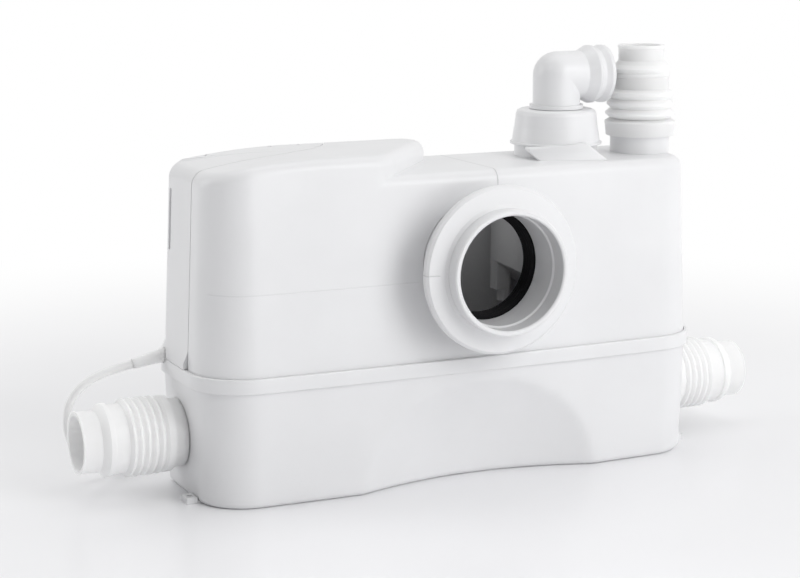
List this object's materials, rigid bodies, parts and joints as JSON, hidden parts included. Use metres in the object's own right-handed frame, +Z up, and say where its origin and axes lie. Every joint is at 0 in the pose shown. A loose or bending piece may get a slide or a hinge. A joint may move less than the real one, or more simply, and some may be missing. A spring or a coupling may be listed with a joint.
{
  "type": "macerator toilet pump",
  "caption": "Low white floor-standing macerator pump with a round toilet inlet in front, ribbed waste inlets at the ends and on top, and a swivelling discharge elbow.",
  "frame": {"origin": "on the floor under the middle of the body", "axes": "+X along the body to the discharge end, +Y to the wall behind, +Z up; the toilet is on the -Y side"},
  "size_m": [0.6132, 0.2946, 0.3464],
  "materials": {
    "white_shell": "moulded, satin gloss",
    "white_rubber": "soft moulded",
    "black_rubber": "soft moulded",
    "grey_plastic": "moulded",
    "black_plastic": "moulded",
    "white_plastic": "moulded",
    "steel": "machined",
    "motor_metal": "drawn",
    "laminations": "stacked sheet",
    "copper_wire": "enamelled wire",
    "board": "coated board",
    "pin_metal": "nickel plated"
  },
  "bodies": {
    "pump_unit": {"tank": "white_shell", "floor_lugs": "white_shell", "upper_housing": "white_shell", "inlet_collar": "white_shell", "discharge_cap": "white_shell", "left_connector": "white_rubber", "right_connector": "white_rubber", "top_connector": "white_rubber", "cable_gland": "white_rubber", "power_cord": "white_rubber", "cord_coil": "white_rubber", "cord_tail": "white_rubber", "inlet_seal": "black_rubber", "rim_gasket": "black_rubber", "shaft_seal": "black_rubber", "pipe_sleeve": "black_rubber", "pump_deck": "grey_plastic", "valve_body": "grey_plastic", "discharge_pipe": "grey_plastic", "pump_casing": "grey_plastic", "left_flap_frame": "grey_plastic", "right_flap_frame": "grey_plastic", "level_tube": "grey_plastic", "pressure_switch": "black_plastic", "vent_filter": "black_plastic", "cord_tie": "black_plastic", "capacitor": "white_plastic", "plug": "white_plastic", "cutter_ring": "steel", "lower_bearing": "steel", "upper_bearing": "steel", "motor_screws": "steel", "motor_can": "motor_metal", "motor_cap": "motor_metal", "stator": "laminations", "windings": "copper_wire", "circuit_board": "board", "plug_pins": "pin_metal"},
    "rotor": {"motor_shaft": "steel", "rotor_core": "laminations", "impeller": "grey_plastic", "cutter": "steel"},
    "elbow": {"discharge_elbow": "white_shell", "elbow_seal": "black_rubber"},
    "cover": {"service_cover": "white_shell"},
    "discharge_flap": {"valve_flap": "black_rubber"},
    "left_inlet_flap": {"left_flap": "black_rubber"},
    "right_inlet_flap": {"right_flap": "black_rubber"},
    "plunger": {"switch_plunger": "white_plastic"}
  },
  "joints": [
    {"name": "rotor_spin", "type": "hinge", "parent": "pump_unit", "child": "rotor", "pos_m": [-0.12, 0, 0.1], "axis": [0, 0, 1], "continuous": true},
    {"name": "elbow_swivel", "type": "hinge", "parent": "pump_unit", "child": "elbow", "pos_m": [0.116, 0.01, 0.29], "axis": [0, 0, 1], "continuous": true},
    {"name": "cover_lift", "type": "slide", "parent": "pump_unit", "child": "cover", "axis": [0, 0, 1], "range_m": [0, 0.18]},
    {"name": "discharge_flap_swing", "type": "hinge", "parent": "pump_unit", "child": "discharge_flap", "pos_m": [0.116, 0.033, 0.1936], "axis": [-1, 0, 0], "range_deg": [0, 60]},
    {"name": "left_flap_swing", "type": "hinge", "parent": "pump_unit", "child": "left_inlet_flap", "pos_m": [-0.20925, 0.018, 0.076], "axis": [0, -1, 0], "range_deg": [0, 60]},
    {"name": "right_flap_swing", "type": "hinge", "parent": "pump_unit", "child": "right_inlet_flap", "pos_m": [0.20925, 0.018, 0.076], "axis": [0, 1, 0], "range_deg": [0, 60]},
    {"name": "plunger_rise", "type": "slide", "parent": "pump_unit", "child": "plunger", "axis": [0, 0, 1], "range_m": [0, 0.0015]}
  ]
}
